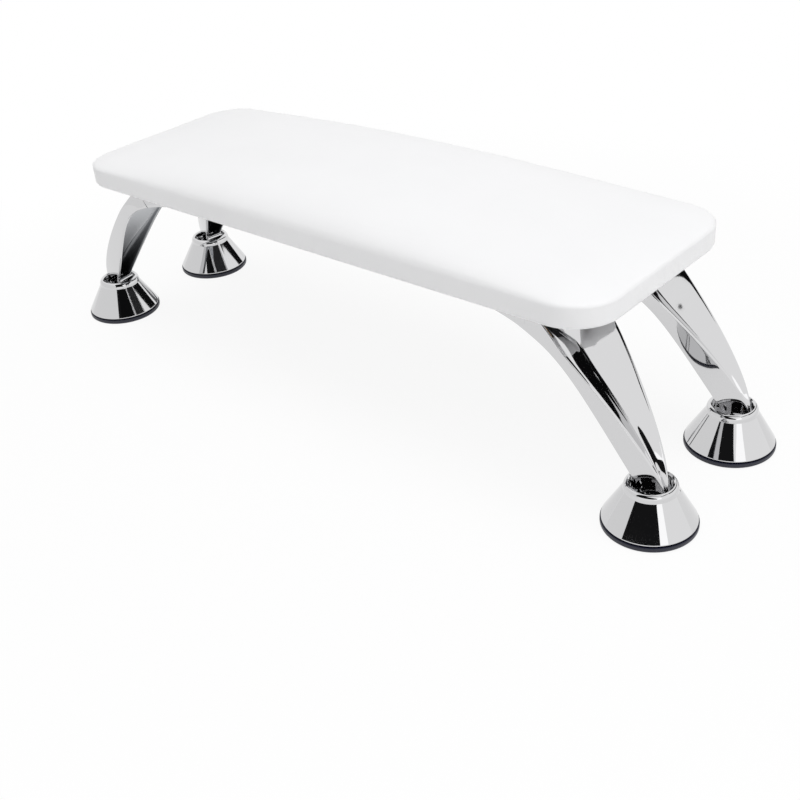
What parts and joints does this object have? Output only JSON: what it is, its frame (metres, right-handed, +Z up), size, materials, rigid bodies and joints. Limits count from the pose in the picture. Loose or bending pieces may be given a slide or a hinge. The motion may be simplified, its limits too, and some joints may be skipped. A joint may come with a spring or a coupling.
{
  "type": "manicure hand rest",
  "caption": "Padded leather hand rest: a long board with rounded corners and a softly crowned top, raised on curved, grooved chrome legs that end in round cone feet with rubber rings.",
  "frame": {"origin": "on the floor under the middle of the pad, at the centre of the bounding box's bottom face", "axes": "+X along the pad's length, +Y across it, +Z up"},
  "size_m": [0.493, 0.14, 0.1398],
  "materials": {
    "cover_leather": "white smooth synthetic leather",
    "pad_foam": "soft foam",
    "board_wood": "raw plywood",
    "lining_cloth": "black non-woven cloth",
    "leg_chrome": "mirror",
    "foot_chrome": "mirror",
    "ring_rubber": "satin",
    "foot_screw_steel": "zinc plated",
    "plate_screw_steel": "zinc plated"
  },
  "bodies": {
    "root": {"pad_cover": "cover_leather", "pad_foam": "pad_foam", "pad_board": "board_wood", "pad_lining": "lining_cloth", "leg_front_right": "leg_chrome", "foot_cup_front_right": "foot_chrome", "foot_ring_front_right": "ring_rubber", "foot_screw_front_right": "foot_screw_steel", "plate_screw_front_right_1": "plate_screw_steel", "plate_screw_front_right_2": "plate_screw_steel", "plate_screw_front_right_3": "plate_screw_steel", "plate_screw_front_right_4": "plate_screw_steel", "leg_back_right": "leg_chrome", "foot_cup_back_right": "foot_chrome", "foot_ring_back_right": "ring_rubber", "foot_screw_back_right": "foot_screw_steel", "plate_screw_back_right_1": "plate_screw_steel", "plate_screw_back_right_2": "plate_screw_steel", "plate_screw_back_right_3": "plate_screw_steel", "plate_screw_back_right_4": "plate_screw_steel", "leg_front_left": "leg_chrome", "foot_cup_front_left": "foot_chrome", "foot_ring_front_left": "ring_rubber", "foot_screw_front_left": "foot_screw_steel", "plate_screw_front_left_1": "plate_screw_steel", "plate_screw_front_left_2": "plate_screw_steel", "plate_screw_front_left_3": "plate_screw_steel", "plate_screw_front_left_4": "plate_screw_steel", "leg_back_left": "leg_chrome", "foot_cup_back_left": "foot_chrome", "foot_ring_back_left": "ring_rubber", "foot_screw_back_left": "foot_screw_steel", "plate_screw_back_left_1": "plate_screw_steel", "plate_screw_back_left_2": "plate_screw_steel", "plate_screw_back_left_3": "plate_screw_steel", "plate_screw_back_left_4": "plate_screw_steel"}
  },
  "joints": []
}
